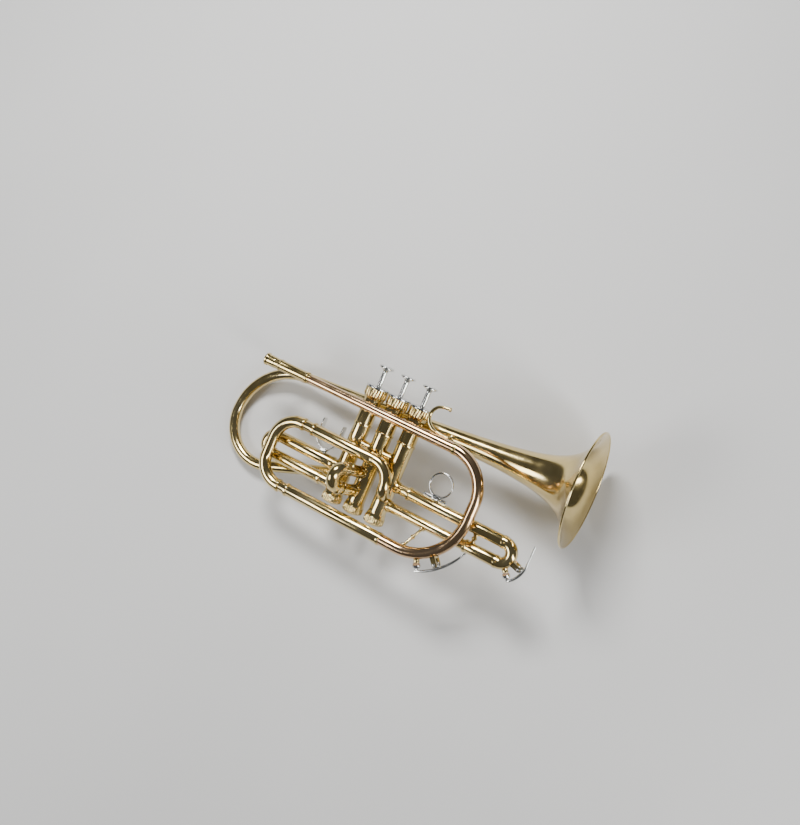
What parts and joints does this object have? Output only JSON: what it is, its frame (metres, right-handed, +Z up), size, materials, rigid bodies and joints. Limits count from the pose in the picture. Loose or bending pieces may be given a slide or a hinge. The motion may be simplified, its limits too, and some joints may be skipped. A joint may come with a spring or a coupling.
{
  "type": "cornet",
  "caption": "Lacquered brass cornet with a shepherd's-crook bell, piston valves, moving slides and water keys, lying on its side.",
  "frame": {"origin": "centre of the footprint, on the surface that the cornet lies on", "axes": "+X towards the bell, +Y towards the finger buttons, +Z up; the cornet lies on its left side"},
  "size_m": [0.3858, 0.2016, 0.1181],
  "materials": {
    "gold_lacquer": "clear lacquered, polished",
    "rose_brass": "clear lacquered, polished, redder alloy",
    "nickel": "nickel plated, polished",
    "valve_metal": "ground",
    "pearl": "pearly",
    "cork": "matt cork"
  },
  "bodies": {
    "cornet_body": {"mouthpiece_receiver": "gold_lacquer", "leadpipe": "rose_brass", "main_bow": "rose_brass", "tuning_sleeve_upper": "gold_lacquer", "tuning_sleeve_lower": "gold_lacquer", "inlet_elbow": "gold_lacquer", "valve_casing_1": "gold_lacquer", "valve_casing_2": "gold_lacquer", "valve_casing_3": "gold_lacquer", "casing_knuckles": "gold_lacquer", "first_slide_tubes": "nickel", "second_slide_sleeves": "gold_lacquer", "third_slide_tubes": "gold_lacquer", "bell_crook": "gold_lacquer", "bell_ferrule": "gold_lacquer", "bell": "gold_lacquer", "bell_rim": "gold_lacquer", "receiver_brace": "gold_lacquer", "bell_brace": "gold_lacquer", "lower_brace": "gold_lacquer", "leadpipe_stays": "gold_lacquer", "pinky_hook": "nickel", "water_key_mount": "nickel", "top_cap_1": "gold_lacquer", "top_cap_2": "gold_lacquer", "top_cap_3": "gold_lacquer", "bottom_cap_1": "gold_lacquer", "bottom_cap_2": "gold_lacquer", "bottom_cap_3": "gold_lacquer"},
    "tuning_slide": {"tuning_crook": "gold_lacquer", "tuning_legs": "nickel"},
    "first_slide": {"first_slide_crook": "gold_lacquer", "first_slide_sleeves": "gold_lacquer", "thumb_saddle": "nickel"},
    "second_slide": {"second_slide_crook": "gold_lacquer", "second_slide_legs": "nickel"},
    "third_slide": {"third_slide_crook": "gold_lacquer", "third_slide_sleeves": "gold_lacquer", "third_slide_rail": "nickel", "third_key_mount": "nickel"},
    "finger_ring": {"finger_ring": "nickel"},
    "water_key": {"water_key_lever": "nickel", "water_key_cork": "cork"},
    "third_water_key": {"third_key_lever": "nickel", "third_key_cork": "cork"},
    "valve_1": {"valve_piston_1": "valve_metal", "valve_stem_1": "nickel", "button_pearl_1": "pearl"},
    "valve_2": {"valve_piston_2": "valve_metal", "valve_stem_2": "nickel", "button_pearl_2": "pearl"},
    "valve_3": {"valve_piston_3": "valve_metal", "valve_stem_3": "nickel", "button_pearl_3": "pearl"}
  },
  "joints": [
    {"name": "valve_1_press", "type": "slide", "parent": "cornet_body", "child": "valve_1", "axis": [0.0215, -0.9845, -0.1742], "range_m": [0, 0.0165], "stiffness_N_per_m": 90, "springref_m": -0.022},
    {"name": "valve_2_press", "type": "slide", "parent": "cornet_body", "child": "valve_2", "axis": [0.0215, -0.9845, -0.1742], "range_m": [0, 0.0165], "stiffness_N_per_m": 90, "springref_m": -0.022},
    {"name": "valve_3_press", "type": "slide", "parent": "cornet_body", "child": "valve_3", "axis": [0.0215, -0.9845, -0.1742], "range_m": [0, 0.0165], "stiffness_N_per_m": 90, "springref_m": -0.022},
    {"name": "tuning_slide_pull", "type": "slide", "parent": "cornet_body", "child": "tuning_slide", "axis": [-0.9925, 0, -0.1222], "range_m": [-0.007, 0.03]},
    {"name": "first_slide_pull", "type": "slide", "parent": "cornet_body", "child": "first_slide", "axis": [-0.9925, 0, -0.1222], "range_m": [0, 0.02]},
    {"name": "second_slide_pull", "type": "slide", "parent": "cornet_body", "child": "second_slide", "axis": [-0.468, -0.1639, 0.8684], "range_m": [-0.002, 0.008]},
    {"name": "third_slide_pull", "type": "slide", "parent": "cornet_body", "child": "third_slide", "axis": [0.9925, 0, 0.1222], "range_m": [0, 0.02]},
    {"name": "finger_ring_adjust", "type": "slide", "parent": "third_slide", "child": "finger_ring", "axis": [0.9925, 0, 0.1222], "range_m": [-0.006, 0.006]},
    {"name": "water_key_press", "type": "hinge", "parent": "cornet_body", "child": "water_key", "pos_m": [0.08965, -0.08528, 0.06802], "axis": [-0.1203, -0.1755, 0.9771], "range_deg": [0, 14], "stiffness_Nm_per_rad": 0.03, "springref_deg": -22.92},
    {"name": "third_water_key_press", "type": "hinge", "parent": "third_slide", "child": "third_water_key", "pos_m": [0.16227, -0.05297, 0.0668], "axis": [-0.1203, -0.1755, 0.9771], "range_deg": [0, 14], "stiffness_Nm_per_rad": 0.03, "springref_deg": -22.92}
  ]
}
